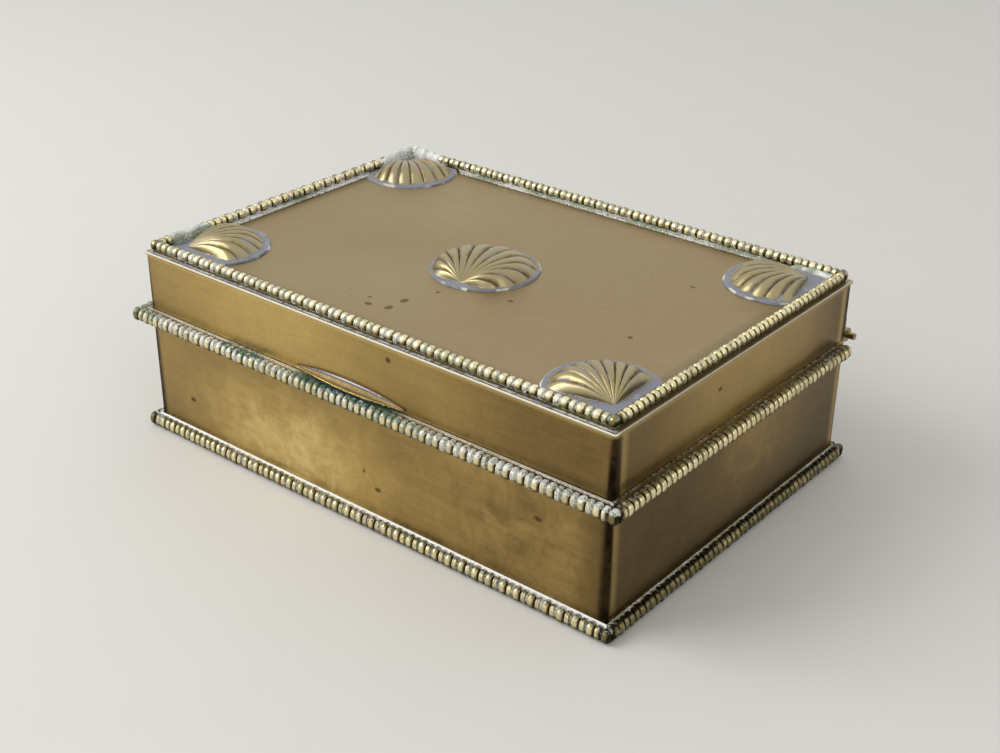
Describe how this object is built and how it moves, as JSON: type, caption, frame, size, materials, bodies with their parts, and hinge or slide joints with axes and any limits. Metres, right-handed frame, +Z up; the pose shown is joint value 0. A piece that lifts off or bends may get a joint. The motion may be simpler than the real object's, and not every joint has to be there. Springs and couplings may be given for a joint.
{
  "type": "silverware chest",
  "caption": "Rectangular sheet brass table box with hinged lid, bead-and-reel mouldings, scallop shells on the lid, thumb lift, wood lining",
  "frame": {"origin": "centre of the bounding box on the table plane, under the middle of the box", "axes": "+X along the front wall to the right, +Y from the front to the hinge, +Z up"},
  "size_m": [0.211, 0.1484, 0.074],
  "materials": {
    "brass_sheet": "aged brushed sheet, golden brown patina, soft gloss",
    "brass_top": "dull greyish patina, fine scratches and dark pits",
    "brass_moulding": "polished high points, dark grime and pale polish residue in the hollows",
    "brass_shell": "stamped, polished ribs, pale residue round the rim",
    "brass_lift": "polished, bright edge",
    "brass_hinge": "aged, worn bright on the knuckles",
    "lining_wood": "thin cedar boards, unvarnished"
  },
  "bodies": {
    "body": {"base_plate": "brass_sheet", "body_wall_front": "brass_sheet", "body_wall_back": "brass_sheet", "body_wall_left": "brass_sheet", "body_wall_right": "brass_sheet", "base_moulding_front": "brass_moulding", "base_moulding_back": "brass_moulding", "base_moulding_left": "brass_moulding", "base_moulding_right": "brass_moulding", "rim_moulding_front": "brass_moulding", "rim_moulding_left": "brass_moulding", "rim_moulding_right": "brass_moulding", "lining_floor": "lining_wood", "lining_front": "lining_wood", "lining_back": "lining_wood", "lining_left": "lining_wood", "lining_right": "lining_wood", "hinge_leaf_body": "brass_hinge", "hinge_pin": "brass_hinge"},
    "lid": {"lid_wall_front": "brass_sheet", "lid_wall_back": "brass_sheet", "lid_wall_left": "brass_sheet", "lid_wall_right": "brass_sheet", "lid_top_plate": "brass_top", "lid_moulding_front": "brass_moulding", "lid_moulding_back": "brass_moulding", "lid_moulding_left": "brass_moulding", "lid_moulding_right": "brass_moulding", "shell_front_left": "brass_shell", "shell_front_right": "brass_shell", "shell_back_left": "brass_shell", "shell_back_right": "brass_shell", "shell_middle": "brass_shell", "thumb_lift": "brass_lift", "hinge_leaf_lid": "brass_hinge", "lid_lining": "lining_wood"}
  },
  "joints": [
    {"name": "lid_hinge", "type": "hinge", "parent": "body", "child": "lid", "pos_m": [0, 0.0717, 0.04695], "axis": [-1, 0, 0], "range_deg": [0, 110]}
  ]
}
